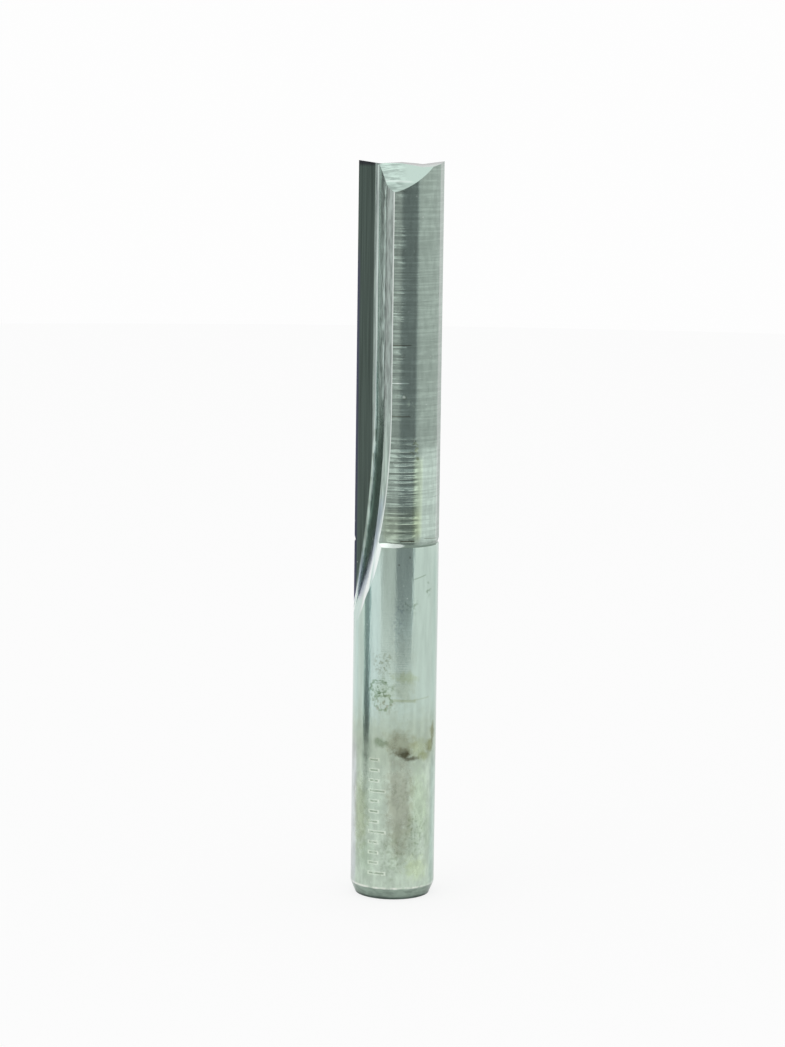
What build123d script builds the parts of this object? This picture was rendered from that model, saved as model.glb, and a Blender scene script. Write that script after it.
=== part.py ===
from build123d import *

import os
from math import acos, asin, cos, degrees, radians, sin, sqrt, tan

# Two-flute straight router bit, ground from one rod of solid carbide, in millimetres.
# The origin is the centre of the shank's end face and +Z runs up the axis to the cutting end.
# The first tooth lies on the -X side and its flute opens towards -Y.
# The second tooth is the first one turned half a turn about Z. The bit cuts right-handed.

# Rod
SHANK_DIAMETER = 8.0
SHANK_LENGTH = 34.0
CUTTING_DIAMETER = 8.0
CUTTING_LENGTH = 36.0

# Lead-in cone at the shank's end
END_CHAMFER_DEPTH = 0.47
END_CHAMFER_LENGTH = 1.1

# Sloped shoulder where the shank ends, and the shallow neck that parts it from the margins
SHOULDER_SLOPE = 60.0
SHOULDER_ROOT_DEPTH = 0.6
NECK_DEPTH = 0.1
NECK_RUN_OUT = 0.38

# Eccentric relief of the land behind each margin
LAND_UNDERCUT = 0.16
LAND_ECCENTRICITY = 0.17
LAND_LEAN = 15.0

# Flat margin beside each cutting edge, and the small wheel that ends it in the neck
MARGIN_WIDTH = 1.62
MARGIN_CLEARANCE = 0.5
MARGIN_WHEEL_RADIUS = 3.0

# Flute section: rake face, corner, wall and bevelled heel
RAKE_OFFSET = 0.12
FLUTE_CORNER_DISTANCE = 2.06
FLUTE_CORNER_RADIUS = 0.35
FLUTE_WALL_TILT = 15.5
HEEL_BEVEL_START = 3.0
HEEL_BEVEL_TILT = 37.0
HEEL_BEND_RADIUS = 1.2

# Flute path: straight down from the end, then out on the arc of the grinding wheel
STRAIGHT_FLUTE_LENGTH = 23.0
FLUTE_WHEEL_RADIUS = 100.0

# Ground end: dished edges, a low centre and a steep gash in front of each tooth
DISH_ANGLE = 8.0
DISH_VALLEY_DISTANCE = 2.0
CENTRE_DROP = 0.14
END_RELIEF_ANGLE = 6.0
GASH_ANGLE = 41.4
GASH_TURN = 27.7
GASH_RISE = 0.38

# Cutters run this far past the faces that they clear
OVERRUN = 1.0

SHANK_RADIUS = SHANK_DIAMETER / 2
CUTTING_RADIUS = CUTTING_DIAMETER / 2
ROD_RADIUS = max(SHANK_RADIUS, CUTTING_RADIUS)
OVERALL_LENGTH = SHANK_LENGTH + CUTTING_LENGTH
REACH = ROD_RADIUS + OVERRUN
WIDE = 6 * REACH
STANDING = (Align.CENTER, Align.CENTER, Align.MIN)


def half_turn(shape):
    """The same shape for the other tooth."""
    return Rot(0, 0, 180) * shape


def rod():
    """The round rod before grinding, with the lead-in cone at the shank's end."""
    shank = Cylinder(SHANK_RADIUS, SHANK_LENGTH, align=STANDING)
    end_face = shank.faces().sort_by(Axis.Z)[0]
    shank = chamfer(end_face.edges(), END_CHAMFER_DEPTH, END_CHAMFER_LENGTH, reference=end_face)
    upper_rod = Cylinder(ROD_RADIUS, CUTTING_LENGTH + OVERRUN, align=STANDING)
    return shank + Pos(0, 0, SHANK_LENGTH) * upper_rod


def shoulder(edge_radius):
    """Cone under the ground lands, drawn out to an edge past the rod."""
    root_radius = min(SHANK_RADIUS, CUTTING_RADIUS) - SHOULDER_ROOT_DEPTH
    slope = tan(radians(SHOULDER_SLOPE))
    edge_height = SHANK_LENGTH - (edge_radius - SHANK_RADIUS) * slope
    root_height = SHANK_LENGTH + (SHANK_RADIUS - root_radius) * slope
    cone = Cone(edge_radius, root_radius, root_height - edge_height, align=STANDING)
    return Pos(0, 0, edge_height) * cone


def around_neck(edge_radius):
    """Ring outside the neck, whose top slopes out from the neck to the full cutting size."""
    neck_radius = min(SHANK_RADIUS, CUTTING_RADIUS) - NECK_DEPTH
    neck_height = SHANK_LENGTH + (SHANK_RADIUS - neck_radius) * tan(radians(SHOULDER_SLOPE))
    flank_rise = NECK_RUN_OUT / (CUTTING_RADIUS - neck_radius)
    outline = Polyline(
        (neck_radius, 0),
        (neck_radius, neck_height),
        (edge_radius, neck_height + (edge_radius - neck_radius) * flank_rise),
        (edge_radius, 0),
        close=True,
    )
    return revolve(Plane.XZ * make_face(outline), Axis.Z)


def ground_section():
    """Section of the cutting end once both lands are relieved."""
    lean = radians(LAND_LEAN)
    land_axis = Pos(LAND_ECCENTRICITY * cos(lean), LAND_ECCENTRICITY * sin(lean))
    land = land_axis * Circle(CUTTING_RADIUS - LAND_UNDERCUT)
    swept = Pos(0, -WIDE / 2) * Rectangle(2 * WIDE, WIDE)
    tooth = Circle(CUTTING_RADIUS) & land & swept
    return tooth + half_turn(tooth)


def land_cut():
    """What the relief wheels take off round both lands and the neck, down to the shoulder."""
    lands = extrude(Circle(WIDE) - ground_section(), OVERALL_LENGTH + OVERRUN)
    return lands + around_neck(WIDE) - shoulder(WIDE)


def margin_cut():
    """Flat beside the second tooth's edge, ended by the arc of its small wheel."""
    edge_angle = degrees(asin(RAKE_OFFSET / CUTTING_RADIUS))
    relief_angle = degrees(asin(MARGIN_WIDTH / (2 * CUTTING_RADIUS)))
    chord_distance = CUTTING_RADIUS * cos(radians(relief_angle))
    start = SHANK_LENGTH + MARGIN_CLEARANCE
    height = CUTTING_LENGTH + OVERRUN - MARGIN_CLEARANCE
    flat = Box(OVERRUN, 2 * MARGIN_WIDTH, height, align=(Align.MIN, Align.CENTER, Align.MIN))
    wheel = Pos(MARGIN_WHEEL_RADIUS) * Rot(90, 0, 0) * Cylinder(MARGIN_WHEEL_RADIUS, 2 * MARGIN_WIDTH)
    turn = Rot(0, 0, -edge_angle - relief_angle)
    return turn * Pos(chord_distance, 0, start) * (flat + wheel)


def flute_section():
    """Section of the first tooth's flute, from the rake face round to past the bevelled heel."""
    bevel_y = RAKE_OFFSET - HEEL_BEVEL_START
    bevel_x = HEEL_BEVEL_START * tan(radians(FLUTE_WALL_TILT)) - FLUTE_CORNER_DISTANCE
    outer_y = min(-REACH, bevel_y - OVERRUN)
    outer_x = bevel_x + (bevel_y - outer_y) * tan(radians(HEEL_BEVEL_TILT))
    outline = Polyline(
        (-REACH, RAKE_OFFSET),
        (-FLUTE_CORNER_DISTANCE, RAKE_OFFSET),
        (bevel_x, bevel_y),
        (outer_x, outer_y),
        (-REACH, outer_y),
        close=True,
    )
    section = make_face(outline)
    corner = section.vertices().sort_by_distance((-FLUTE_CORNER_DISTANCE, RAKE_OFFSET))[0]
    section = fillet(corner, FLUTE_CORNER_RADIUS)
    bend = section.vertices().sort_by_distance((bevel_x, bevel_y))[0]
    return fillet(bend, HEEL_BEND_RADIUS)


def flute_cut():
    """The flute section swept straight down and then out of the rod on the wheel's arc."""
    turning_height = OVERALL_LENGTH - STRAIGHT_FLUTE_LENGTH
    section = Pos(0, 0, turning_height) * flute_section()
    straight = extrude(section, STRAIGHT_FLUTE_LENGTH + OVERRUN, dir=(0, 0, 1))
    wheel_axis = Axis((-FLUTE_CORNER_DISTANCE - FLUTE_WHEEL_RADIUS, 0, turning_height), (0, 1, 0))
    rise = REACH - FLUTE_CORNER_DISTANCE
    swing = degrees(acos(1 - rise / FLUTE_WHEEL_RADIUS))
    run_out = revolve(section, wheel_axis, swing)
    return straight + run_out


def end_cut():
    """Everything above the ground end: two dished edges that fall away on both sides of X."""
    edge_x = sqrt(CUTTING_RADIUS**2 - RAKE_OFFSET**2)
    valley_z = (DISH_VALLEY_DISTANCE - edge_x) * tan(radians(DISH_ANGLE))
    rim_z = OVERRUN * tan(radians(DISH_ANGLE))
    top_z = rim_z + REACH
    outline = Polyline(
        (-edge_x - OVERRUN, rim_z),
        (-DISH_VALLEY_DISTANCE, valley_z),
        (0, -CENTRE_DROP),
        (DISH_VALLEY_DISTANCE, valley_z),
        (edge_x + OVERRUN, rim_z),
        (edge_x + OVERRUN, top_z),
        (-edge_x - OVERRUN, top_z),
        close=True,
    )
    relief = radians(END_RELIEF_ANGLE)
    ridge_z = OVERALL_LENGTH + RAKE_OFFSET * tan(relief)
    profile = Pos(0, 0, ridge_z) * (Plane.XZ * make_face(outline))
    front = extrude(profile, REACH / cos(relief), dir=(0, -cos(relief), -sin(relief)))
    return front + half_turn(front)


def gash_cut():
    """Steep facet in front of the second tooth, stopped at the first tooth's rake face."""
    slope = radians(GASH_ANGLE)
    turn = radians(GASH_TURN)
    facet = Plane(
        origin=(0, 0, OVERALL_LENGTH + GASH_RISE),
        x_dir=(1, 0, tan(slope) * sin(turn)),
        z_dir=(-sin(slope) * sin(turn), -sin(slope) * cos(turn), cos(slope)),
    )
    above_facet = facet * Box(WIDE, WIDE, WIDE, align=STANDING)
    before_rake = Box(WIDE, WIDE, WIDE, align=(Align.CENTER, Align.MAX, Align.CENTER))
    return above_facet & (Pos(0, RAKE_OFFSET, OVERALL_LENGTH) * before_rake)


def router_bit():
    """The finished tool."""
    bit = rod() - land_cut()
    for cut in (margin_cut(), flute_cut(), gash_cut()):
        bit = bit - cut - half_turn(cut)
    return bit - end_cut()


os.makedirs("parts", exist_ok=True)
export_step(router_bit(), "parts/router_bit.step")
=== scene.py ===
import logging
from dataclasses import dataclass
from enum import Enum
from math import cos, radians, sin, tan
from typing import Any, Union

import bpy
from mathutils import Matrix, Vector


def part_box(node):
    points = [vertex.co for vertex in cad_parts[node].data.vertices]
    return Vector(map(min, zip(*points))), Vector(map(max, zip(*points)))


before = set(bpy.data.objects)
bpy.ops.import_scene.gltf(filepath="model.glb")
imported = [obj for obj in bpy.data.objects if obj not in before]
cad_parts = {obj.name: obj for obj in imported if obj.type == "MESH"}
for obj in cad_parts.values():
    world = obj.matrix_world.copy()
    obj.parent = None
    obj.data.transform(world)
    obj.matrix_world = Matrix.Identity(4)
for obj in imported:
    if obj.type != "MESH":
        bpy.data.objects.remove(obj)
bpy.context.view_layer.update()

LOG = logging.getLogger("router_bit")

BIT_NODE = "router_bit"
MILLIMETRE = 0.001

Tone = tuple[float, float, float]
Span = tuple[float, float]
Stretch = tuple[float, float, float]

CORE_SHARE = 0.3
SPECK_CORE_SHARE = 0.4
NOISE_ROUGHNESS = 0.6


class Mixing(Enum):
    """How a second colour goes over a first one."""

    OVER = "MIX"
    STAIN = "MULTIPLY"


@dataclass(frozen=True)
class Spot:
    """A place on the rod, by its turn to the right of the front and its height.

    Attributes:
        turn: Degrees from the front (-Y), positive towards +X.
        height: Millimetres above the shank's end.
    """

    turn: float
    height: float


class Num:
    """A number that varies over a surface, with Python's operators as Math nodes."""

    def __init__(self, graph: "Graph", socket: bpy.types.NodeSocket) -> None:
        """Wrap one output socket of a graph."""
        self.graph = graph
        self.socket = socket

    def _join(self, operation: str, *others: Any) -> "Num":
        """Add a Math node on this number.

        Args:
            operation: The Math node's operation.
            *others: Further numbers or values, in the node's order.

        Returns:
            The node's result.
        """
        return self.graph.math(operation, self, *others)

    def __add__(self, other: Any) -> "Num":
        """Sum."""
        return self._join("ADD", other)

    def __sub__(self, other: Any) -> "Num":
        """Difference."""
        return self._join("SUBTRACT", other)

    def __mul__(self, other: Any) -> "Num":
        """Product."""
        return self._join("MULTIPLY", other)

    def __truediv__(self, other: Any) -> "Num":
        """Quotient."""
        return self._join("DIVIDE", other)

    def __pow__(self, other: Any) -> "Num":
        """Power."""
        return self._join("POWER", other)

    def __neg__(self) -> "Num":
        """The number with its sign turned."""
        return self._join("MULTIPLY", -1.0)

    def __abs__(self) -> "Num":
        """Size without sign."""
        return self._join("ABSOLUTE")

    def __radd__(self, other: float) -> "Num":
        """Sum with a plain value first."""
        return self._join("ADD", other)

    def __rsub__(self, other: float) -> "Num":
        """A plain value less this number."""
        return self.graph.math("SUBTRACT", other, self)

    def __rmul__(self, other: float) -> "Num":
        """Product with a plain value first."""
        return self._join("MULTIPLY", other)

    def at_least(self, other: Any) -> "Num":
        """The larger of two numbers."""
        return self._join("MAXIMUM", other)

    def rise(self, low: float, high: float) -> "Num":
        """Smooth step.

        Args:
            low: Where the result is still 0.
            high: Where it has reached 1. It may lie below low, and the step then falls.

        Returns:
            A mask from 0 to 1.
        """
        settings = {"interpolation_type": "SMOOTHSTEP"}
        values = {"Value": self, "From Min": low, "From Max": high}
        return self.graph.number("ShaderNodeMapRange", settings, values, "Result")

    def within(self, low: float, high: float, edge: float) -> "Num":
        """A stretch with soft ends.

        Args:
            low: Where it begins.
            high: Where it ends.
            edge: Half the width of its soft ends.

        Returns:
            A mask from 0 to 1.
        """
        return self.rise(low - edge, low + edge) * self.rise(high + edge, high - edge)


Value = Union[float, Tone, Num, bpy.types.NodeSocket]


class Graph:
    """A material's or the world's node tree, cleared and ready to be filled."""

    def __init__(self, tree: bpy.types.NodeTree) -> None:
        """Clear the tree."""
        self.tree = tree
        tree.nodes.clear()

    def node(
        self, kind: str, settings: dict[str, Any], values: dict[Any, Value]
    ) -> bpy.types.Node:
        """Add one node.

        Args:
            kind: The node's type.
            settings: Attributes set on the node first.
            values: Constants or links for its input sockets, by name or number.

        Returns:
            The new node.
        """
        node = self.tree.nodes.new(kind)
        for name, setting in settings.items():
            setattr(node, name, setting)
        for key, value in values.items():
            socket = node.inputs[key]
            if isinstance(value, Num):
                value = value.socket
            if isinstance(value, bpy.types.NodeSocket):
                self.tree.links.new(value, socket)
            elif isinstance(value, tuple) and socket.type == "RGBA":
                socket.default_value = (*value, 1.0)
            else:
                socket.default_value = value
        return node

    def number(
        self, kind: str, settings: dict[str, Any], values: dict[Any, Value], output: str
    ) -> Num:
        """Add one node and take a number from it.

        Args:
            kind: The node's type.
            settings: Attributes set on the node first.
            values: Constants or links for its input sockets.
            output: The name of the output that is wanted.

        Returns:
            That output as a number.
        """
        return Num(self, self.node(kind, settings, values).outputs[output])

    def math(self, operation: str, *terms: Any) -> Num:
        """Add a Math node.

        Args:
            operation: Its operation.
            *terms: Its inputs in order.

        Returns:
            Its result.
        """
        inputs = dict(enumerate(terms))
        return self.number("ShaderNodeMath", {"operation": operation}, inputs, "Value")

    def vector(self, x: Any, y: Any, z: Any) -> bpy.types.NodeSocket:
        """Put three numbers together as a vector."""
        parts = {"X": x, "Y": y, "Z": z}
        return self.node("ShaderNodeCombineXYZ", {}, parts).outputs["Vector"]

    def split(self, vector: bpy.types.NodeSocket) -> tuple[Num, Num, Num]:
        """Take a vector apart into its three numbers."""
        parts = self.node("ShaderNodeSeparateXYZ", {}, {"Vector": vector})
        return tuple(Num(self, parts.outputs[name]) for name in "XYZ")

    def noise(self, place: bpy.types.NodeSocket, detail: float) -> Num:
        """Cloudy noise.

        Args:
            place: Where it is read, in grains.
            detail: How many finer layers are added.

        Returns:
            A number around one half.
        """
        values = {
            "Vector": place,
            "Scale": 1.0,
            "Detail": detail,
            "Roughness": NOISE_ROUGHNESS,
        }
        return self.number("ShaderNodeTexNoise", {}, values, "Fac")

    def specks(self, place: bpy.types.NodeSocket, radius: float) -> Num:
        """Scattered round specks.

        Args:
            place: Where they are read, one speck to a cell.
            radius: A speck's radius in cells.

        Returns:
            A mask that is 1 in the middle of a speck.
        """
        values = {"Vector": place, "Scale": 1.0}
        distance = self.number("ShaderNodeTexVoronoi", {}, values, "Distance")
        return distance.rise(radius, SPECK_CORE_SHARE * radius)

    def colour(
        self, under: Value, over: Value, amount: Any, mixing: Mixing = Mixing.OVER
    ) -> bpy.types.NodeSocket:
        """Lay one colour over another.

        Args:
            under: The colour below.
            over: The colour on top.
            amount: How much of it shows, from 0 to 1.
            mixing: How it goes over the one below.

        Returns:
            The mixed colour.
        """
        settings = {"data_type": "RGBA", "blend_type": mixing.value}
        return self.node("ShaderNodeMix", settings, {0: amount, 6: under, 7: over}).outputs[2]


@dataclass(frozen=True)
class Grain:
    """A noise with its own grain each way, and the step that turns it into a mask.

    Attributes:
        along_x: Grains in a millimetre along X.
        along_y: Grains in a millimetre along Y.
        along_z: Grains in a millimetre along Z.
        step: The noise at which the mask is 0, and the noise at which it is 1.
        detail: How many finer layers are added.
    """

    along_x: float
    along_y: float
    along_z: float
    step: Span
    detail: float = 3.0


# Grains in a millimetre, finer layers, and how far the edge strays.
RAGGED = (1.6, 4.0, 1.6)
FINE_RAGGED = (3.2, 3.0, 2.0)
BROKEN = Grain(2.4, 2.4, 2.4, (0.30, 0.55), 5.0)
DIRT = Grain(3.6, 3.6, 3.2, (0.50, 0.60), 2.0)


class RodSkin:
    """Places and directions on the bit's surface, in millimetres, for its finish to read."""

    def __init__(self, graph: Graph, radius: float) -> None:
        """Read the object's coordinates and normal.

        Args:
            graph: The material's graph.
            radius: The shank's radius in millimetres.
        """
        self.graph = graph
        self.radius = radius
        reader = graph.node("ShaderNodeTexCoord", {}, {})
        scaled = graph.node(
            "ShaderNodeVectorMath",
            {"operation": "SCALE"},
            {0: reader.outputs["Object"], "Scale": 1.0 / MILLIMETRE},
        )
        self.x, self.y, self.z = graph.split(scaled.outputs[0])
        self.normal_x, self.normal_y, self.normal_z = graph.split(reader.outputs["Normal"])
        self.reach = (self.x**2.0 + self.y**2.0) ** 0.5
        self.facing_out = (self.x * self.normal_x + self.y * self.normal_y) / self.reach
        self.turn = graph.math("ARCTAN2", self.x, -self.y)
        self.ragged = self.wander(*RAGGED)
        self.fine_ragged = self.wander(*FINE_RAGGED)
        self.broken = self.grain(BROKEN)
        self.dirt_and_painted_shade = self.grain(DIRT)

    def noise(self, along_x: float, along_y: float, along_z: float, detail: float) -> Num:
        """Noise with its own grain each way.

        Args:
            along_x: Grains in a millimetre along X.
            along_y: Grains in a millimetre along Y.
            along_z: Grains in a millimetre along Z.
            detail: How many finer layers are added.

        Returns:
            A number around one half.
        """
        place = self.graph.vector(self.x * along_x, self.y * along_y, self.z * along_z)
        return self.graph.noise(place, detail)

    def wander(self, grain: float, detail: float, size: float) -> Num:
        """A number that strays to both sides of 0.

        Args:
            grain: Grains in a millimetre.
            detail: How many finer layers are added.
            size: How far it strays.

        Returns:
            The number.
        """
        return (self.noise(grain, grain, grain, detail) - 0.5) * size

    def grain(self, grain: Grain) -> Num:
        """A noise made into a mask.

        Args:
            grain: The noise and its step.

        Returns:
            A mask from 0 to 1.
        """
        cloud = self.noise(grain.along_x, grain.along_y, grain.along_z, grain.detail)
        return cloud.rise(*grain.step)

    def offset(self, spot: Spot) -> tuple[Num, Num]:
        """How far a place lies from a spot, round the rod and up it, in millimetres."""
        return (self.turn - radians(spot.turn)) * self.radius, self.z - spot.height

    def spread(self, centre: Spot, half_width: float, half_height: float) -> Num:
        """How far out a place lies from the middle of an oval, as a share of the oval's radius.

        Args:
            centre: The oval's middle.
            half_width: Its radius round the rod, in millimetres.
            half_height: Its radius up the rod, in millimetres.

        Returns:
            The share, which is 1 on the oval.
        """
        across, up = self.offset(centre)
        return ((across / half_width) ** 2.0 + (up / half_height) ** 2.0) ** 0.5

    def between(self, left: float, right: float, edge: float) -> Num:
        """A stretch of turn, in degrees from the front."""
        return self.turn.within(radians(left), radians(right), radians(edge))

    def level(self, bottom: float, top: float, edge: float) -> Num:
        """A stretch of height, in millimetres."""
        return self.z.within(bottom, top, edge)


@dataclass(frozen=True)
class Blotch:
    """A filled patch with a soft, broken edge.

    Attributes:
        centre: Its middle.
        half_width: Half its width round the rod, in millimetres.
        half_height: Half its height, in millimetres.
        strength: How much it covers, from 0 to 1.
        fade: Where its edge begins and where it is full, as shares of its size.
    """

    centre: Spot
    half_width: float
    half_height: float
    strength: float
    fade: Span = (1.35, 0.35)

    def mask(self, skin: RodSkin) -> Num:
        """Where the patch lies.

        Args:
            skin: The places on the rod.

        Returns:
            A mask from 0 to its strength.
        """
        spread = skin.spread(self.centre, self.half_width, self.half_height)
        return (spread + skin.ragged).rise(*self.fade) * self.strength


@dataclass(frozen=True)
class Speckle(Blotch):
    """A patch of fine broken residue."""

    def mask(self, skin: RodSkin) -> Num:
        """Where the residue lies.

        Args:
            skin: The places on the rod.

        Returns:
            A mask from 0 to its strength.
        """
        return super().mask(skin) * skin.dirt_and_painted_shade


@dataclass(frozen=True)
class DriedEdge:
    """The wandering rim that a dried drop leaves.

    Attributes:
        centre: The drop's middle.
        half_width: Its radius round the rod, in millimetres.
        half_height: Its radius up the rod, in millimetres.
        thickness: The rim's thickness as a share of its radius.
        wander: How far the rim strays from an oval, as a share of its radius.
        strength: How much it covers, from 0 to 1.
    """

    centre: Spot
    half_width: float
    half_height: float
    thickness: float
    wander: float
    strength: float

    def mask(self, skin: RodSkin) -> Num:
        """Where the rim lies, broken here and there.

        Args:
            skin: The places on the rod.

        Returns:
            A mask from 0 to its strength.
        """
        spread = skin.spread(self.centre, self.half_width, self.half_height)
        off_rim = abs(spread + skin.fine_ragged * self.wander - 1.0)
        rim = off_rim.rise(self.thickness, CORE_SHARE * self.thickness)
        return rim * skin.broken * self.strength


@dataclass(frozen=True)
class Line:
    """A thin straight line: a scratch, or dirt along an edge.

    Attributes:
        start: One end.
        end: The other end.
        width: Half its width in millimetres.
        strength: How much it covers, from 0 to 1.
        fade: The share of its length over which each end fades.
    """

    start: Spot
    end: Spot
    width: float
    strength: float
    fade: float = 0.1

    def mask(self, skin: RodSkin) -> Num:
        """Where the line lies, fading at its ends.

        Args:
            skin: The places on the rod.

        Returns:
            A mask from 0 to its strength.
        """
        run = radians(self.end.turn - self.start.turn) * skin.radius
        climb = self.end.height - self.start.height
        length = (run**2 + climb**2) ** 0.5
        across, up = skin.offset(self.start)
        along = (across * run + up * climb) / length
        beside = abs(up * run - across * climb) / length
        line = beside.rise(self.width, CORE_SHARE * self.width)
        begins = along.rise(0.0, self.fade * length)
        ends = along.rise(length, (1.0 - self.fade) * length)
        return line * begins * ends * self.strength


@dataclass(frozen=True)
class Band:
    """A stretch of the surface between two turns and two heights.

    Attributes:
        lower_left: Its lower left corner.
        upper_right: Its upper right corner.
        soft_turn: Half the width of its upright edges' fade, in degrees.
        soft_height: Half the height of its level edges' fade, in millimetres.
        strength: How much it covers, from 0 to 1.
    """

    lower_left: Spot
    upper_right: Spot
    soft_turn: float
    soft_height: float
    strength: float

    def mask(self, skin: RodSkin) -> Num:
        """Where the stretch lies.

        Args:
            skin: The places on the rod.

        Returns:
            A mask from 0 to its strength.
        """
        first, last = self.lower_left, self.upper_right
        height = skin.z + skin.ragged * self.soft_height
        around = skin.between(first.turn, last.turn, self.soft_turn)
        return around * height.within(first.height, last.height, self.soft_height) * self.strength


@dataclass(frozen=True)
class ColourMark:
    """One thing that colours the metal: real stains and marks, and painted light and shade, alike.

    Attributes:
        mark: Where it lies.
        tone: What it multiplies the metal's colour by.
        dulling: What it adds to the roughness.
    """

    mark: Union[Blotch, DriedEdge, Line, Band]
    tone: Tone
    dulling: float = 0.0


@dataclass(frozen=True)
class EtchedTicks:
    """A plain etched scale of short level ticks, with no figures.

    Attributes:
        bottom: The height of its foot in millimetres.
        top: The height of its head.
        left: The turn where every tick begins, in degrees.
        right: The turn where a short tick ends.
        long_right: The turn where a long tick ends.
        pitch: The distance between ticks in millimetres.
        long_every: How many ticks there are from one long tick to the next.
        thickness: A tick's thickness in millimetres.
        rim_core: The share of half the thickness within which the rim is full.
        floor: The shares of half the thickness where the floor begins and where it is full.
        floor_inset: How far the floor keeps from a tick's ends, in degrees.
        soft_turn: Half the width of the ends' fade, in degrees.
        soft_height: Half the height of the fade at the scale's foot and head, in millimetres.
    """

    bottom: float = 2.6
    top: float = 13.6
    left: float = -36.0
    right: float = -19.0
    long_right: float = -9.0
    pitch: float = 1.0
    long_every: int = 4
    thickness: float = 0.46
    rim_core: float = 0.6
    floor: Span = (0.5, 0.25)
    floor_inset: float = 2.5
    soft_turn: float = 0.7
    soft_height: float = 0.05

    def off_tick(self, skin: RodSkin, pitch: float) -> Num:
        """How far a place is from the nearest tick, in millimetres.

        Args:
            skin: The places on the rod.
            pitch: The distance between the ticks.

        Returns:
            The distance.
        """
        steps = (skin.z - self.bottom) / pitch + 0.5
        return abs(skin.graph.math("FRACT", steps) - 0.5) * pitch

    def one_kind(
        self, skin: RodSkin, column: Num, pitch: float, right: float
    ) -> tuple[Num, Num]:
        """Where the ticks of one length lie.

        Args:
            skin: The places on the rod.
            column: The stretch that holds the scale.
            pitch: The distance between them in millimetres.
            right: The turn where they end, in degrees.

        Returns:
            The ticks, and their floors.
        """
        half = self.thickness / 2
        off = self.off_tick(skin, pitch)
        whole = off.rise(half, self.rim_core * half) * column
        floor = off.rise(self.floor[0] * half, self.floor[1] * half) * column
        inner = skin.between(self.left + self.floor_inset, right - self.floor_inset, self.soft_turn)
        return whole * skin.between(self.left, right, self.soft_turn), floor * inner

    def masks(self, skin: RodSkin) -> tuple[Num, Num]:
        """Where the ticks lie.

        Args:
            skin: The places on the rod.

        Returns:
            The bright rims of the ticks and their dull floors.
        """
        half = self.thickness / 2
        column = skin.level(self.bottom - half, self.top + half, self.soft_height) * skin.broken
        short_whole, short_floor = self.one_kind(skin, column, self.pitch, self.right)
        long_pitch = self.pitch * self.long_every
        long_whole, long_floor = self.one_kind(skin, column, long_pitch, self.long_right)
        floor = short_floor.at_least(long_floor)
        return short_whole.at_least(long_whole) * (1.0 - floor), floor


@dataclass(frozen=True)
class BitZones:
    """What parts the ground faces: steps of height, radius and offset in millimetres, and of
    the parts of the normal that point outwards, up, down or along Y."""

    outward: Span = (0.90, 0.96)
    round_reach: Span = (3.55, 3.65)
    above_shank: Span = (34.1, 34.25)
    end_tilt: Span = (0.30, 0.50)
    end_heights: Span = (39.55, 40.55)
    cone_tilt: Span = (0.20, 0.30)
    slope_tilt: Span = (0.20, 0.35)
    slope_heights: Stretch = (33.9, 34.75, 0.05)
    flute_heights: Span = (24.0, 25.0)
    rake_offset: float = 0.12
    rake_near: Span = (0.12, 0.05)
    rake_facing: Span = (0.90, 0.98)
    rake_reach: Span = (2.40, 2.52)

    def masks(self, skin: RodSkin) -> dict[str, Num]:
        """Tell the faces apart by their place and direction.

        Args:
            skin: The places on the rod.

        Returns:
            Masks of the round shank, the lands, the rake faces, the flute walls, the ground end,
            the lead-in cone and the sloping shoulder.
        """
        outside = skin.facing_out.rise(*self.outward) * skin.reach.rise(*self.round_reach)
        above = skin.z.rise(*self.above_shank)
        end = skin.normal_z.rise(*self.end_tilt) * skin.z.rise(*self.end_heights)
        cone = (-skin.normal_z).rise(*self.cone_tilt)
        slope = skin.normal_z.rise(*self.slope_tilt) * skin.level(*self.slope_heights)
        inside = (1.0 - outside) * (1.0 - end) * (1.0 - cone) * (1.0 - slope)
        inside = inside * skin.z.rise(*self.flute_heights)
        on_rake = abs(abs(skin.y) - self.rake_offset).rise(*self.rake_near)
        rake = inside * abs(skin.normal_y).rise(*self.rake_facing) * on_rake
        rake = rake * skin.reach.rise(*self.rake_reach)
        return {
            "shank": outside * (1.0 - above),
            "land": outside * above,
            "rake": rake,
            "wall": inside * (1.0 - rake),
            "end": end,
            "cone": cone,
            "slope": slope,
        }


class Coat:
    """The colour, roughness and relief of one surface while its finish is laid on."""

    def __init__(self, skin: RodSkin, colour: Value, roughness: float) -> None:
        """Start from clean metal.

        Args:
            skin: The places on the rod.
            colour: The clean metal's colour.
            roughness: The clean metal's roughness.
        """
        self.skin = skin
        self.graph = skin.graph
        self.colour = colour
        self.roughness = roughness
        self.height = 0.0

    # These two steps lay real marks and painted light and shade alike.
    def tint_by(self, tone: Tone, amount: Num, dulling: float = 0.0) -> None:
        """Multiply the colour by a tone.

        Args:
            tone: The tone.
            amount: Where, and how much of it.
            dulling: What it adds to the roughness there.
        """
        self.colour = self.graph.colour(self.colour, tone, amount, Mixing.STAIN)
        if dulling:
            self.roughness = amount * dulling + self.roughness

    def shade(self, strength: Any, amount: Num) -> None:
        """Multiply the colour by a grey.

        Args:
            strength: The grey, around 1. It may vary.
            amount: Where, and how much of it.
        """
        grey = self.graph.vector(strength, strength, strength)
        self.colour = self.graph.colour(self.colour, grey, amount, Mixing.STAIN)

    def lay_over(self, tone: Tone, amount: Num) -> None:
        """Lay a colour over the one there is."""
        self.colour = self.graph.colour(self.colour, tone, amount)

    def dull(self, amount: Num) -> None:
        """Add to the roughness."""
        self.roughness = amount + self.roughness

    def raise_by(self, amount: Num) -> None:
        """Add to the relief, in hundredths of a millimetre."""
        self.height = amount + self.height


@dataclass(frozen=True)
class Swing:
    """A number that follows a mask.

    Attributes:
        least: Its value where the mask is 0.
        gain: What it gains where the mask is 1.
    """

    least: float
    gain: float

    def of(self, mask: Num) -> Num:
        """The number for a mask."""
        return self.least + mask * self.gain


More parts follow.
